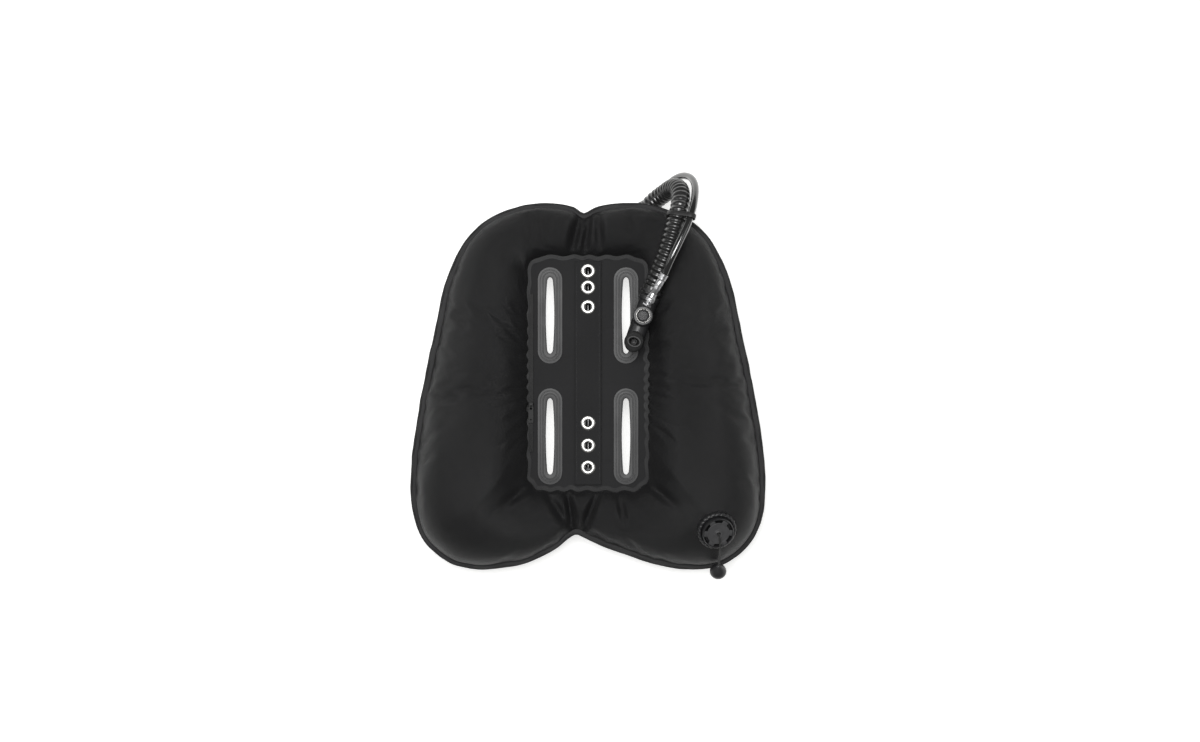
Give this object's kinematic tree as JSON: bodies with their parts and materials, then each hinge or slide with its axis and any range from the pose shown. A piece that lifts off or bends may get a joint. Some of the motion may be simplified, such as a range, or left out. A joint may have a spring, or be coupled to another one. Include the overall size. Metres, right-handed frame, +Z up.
{
  "type": "buoyancy compensator wing",
  "caption": "Inflated back-mounted buoyancy wing with strap slots, bolt grommets, dump valve, corrugated inflation hose, power inflator and low-pressure hose.",
  "frame": {"origin": "under the middle of the wing's box on the floor, free cords left out", "axes": "+Z up, away from the tank side; +Y towards the diver's head; +X to the diver's left"},
  "size_m": [0.5056, 0.577, 0.1515],
  "materials": {
    "shell_nylon": "satin woven nylon, coated inside",
    "piping_nylon": "piped seam",
    "panel_cloth": "matt woven nylon",
    "webbing": "ribbed webbing",
    "pull_cord": "braided cord",
    "coated_patch": "semi-gloss coated patch",
    "bladder_film": "urethane film",
    "nickel": "bright nickel plate",
    "chrome": "polished chrome",
    "black_plastic": "fine satin",
    "grey_plastic": "fine satin",
    "soft_rubber": "matt",
    "hose_rubber": "glossy",
    "seal_rubber": "matt",
    "black_metal": "black lacquered zip metal",
    "spring_steel": "bright wire"
  },
  "bodies": {
    "cell": {"shell_front": "shell_nylon", "shell_back": "shell_nylon", "edge_piping": "piping_nylon", "centre_panel": "panel_cloth", "centre_strip": "webbing", "slot_patch_ul": "coated_patch", "slot_patch_ur": "coated_patch", "slot_patch_ll": "coated_patch", "slot_patch_lr": "coated_patch", "bladder": "bladder_film", "grommet_1": "nickel", "grommet_2": "nickel", "grommet_3": "nickel", "grommet_4": "nickel", "grommet_5": "nickel", "grommet_6": "nickel", "grommet_washer_1": "nickel", "grommet_washer_2": "nickel", "grommet_washer_3": "nickel", "grommet_washer_4": "nickel", "grommet_washer_5": "nickel", "grommet_washer_6": "nickel", "button_bezel": "nickel", "valve_core": "nickel", "qd_nipple": "chrome", "qd_body": "chrome", "qd_ferrule": "chrome", "lp_ferrule": "chrome", "lp_fitting": "chrome", "zip_chain": "black_plastic", "inflator_body": "black_plastic", "inflator_tie": "black_plastic", "elbow_body": "black_plastic", "elbow_nut": "black_plastic", "elbow_tie": "black_plastic", "dump_base": "black_plastic", "dump_ring": "black_plastic", "dump_cap": "grey_plastic", "corrugated_hose": "soft_rubber", "mouthpiece": "soft_rubber", "hose_clip": "soft_rubber", "lp_hose": "hose_rubber", "dump_gasket": "seal_rubber", "elbow_gasket": "seal_rubber", "lp_oring": "seal_rubber", "dump_spring": "spring_steel", "inflate_spring": "spring_steel", "deflate_spring": "spring_steel"},
    "inflate_plunger": {"inflate_button": "grey_plastic"},
    "deflate_plunger": {"deflate_button": "grey_plastic", "deflate_seal": "seal_rubber"},
    "qd_release": {"qd_collar": "chrome"},
    "dump_pull": {"dump_poppet": "black_plastic", "dump_seal": "seal_rubber", "dump_cord": "pull_cord", "dump_knob": "black_plastic"},
    "zip_runner": {"zip_slider": "black_metal"},
    "zip_tab": {"zip_pull": "black_metal"}
  },
  "joints": [
    {"name": "inflate_button_press", "type": "slide", "parent": "cell", "child": "inflate_plunger", "axis": [0, 0, -1], "range_m": [0, 0.0025], "stiffness_N_per_m": 900, "springref_m": -0.002, "deforming": ["inflate_spring"]},
    {"name": "deflate_button_press", "type": "slide", "parent": "cell", "child": "deflate_plunger", "axis": [0, 0, 1], "range_m": [0, 0.003], "stiffness_N_per_m": 700, "springref_m": -0.002, "deforming": ["deflate_spring"]},
    {"name": "qd_collar_slide", "type": "slide", "parent": "cell", "child": "qd_release", "axis": [0.4794, 0.8525, 0.2085], "range_m": [0, 0.004], "stiffness_N_per_m": 1200, "springref_m": -0.002},
    {"name": "dump_valve_pull", "type": "slide", "parent": "cell", "child": "dump_pull", "axis": [0.1732, -0.3691, 0.9131], "range_m": [0, 0.005], "stiffness_N_per_m": 800, "springref_m": -0.002, "deforming": ["dump_spring"]},
    {"name": "zip_slider_travel", "type": "slide", "parent": "cell", "child": "zip_runner", "axis": [0, 1, 0], "range_m": [-0.059, 0.153]},
    {"name": "zip_pull_flip", "type": "hinge", "parent": "zip_runner", "child": "zip_tab", "pos_m": [-0.081, -0.02397, 0.0722], "axis": [-1, 0, 0], "range_deg": [0, 170]}
  ]
}
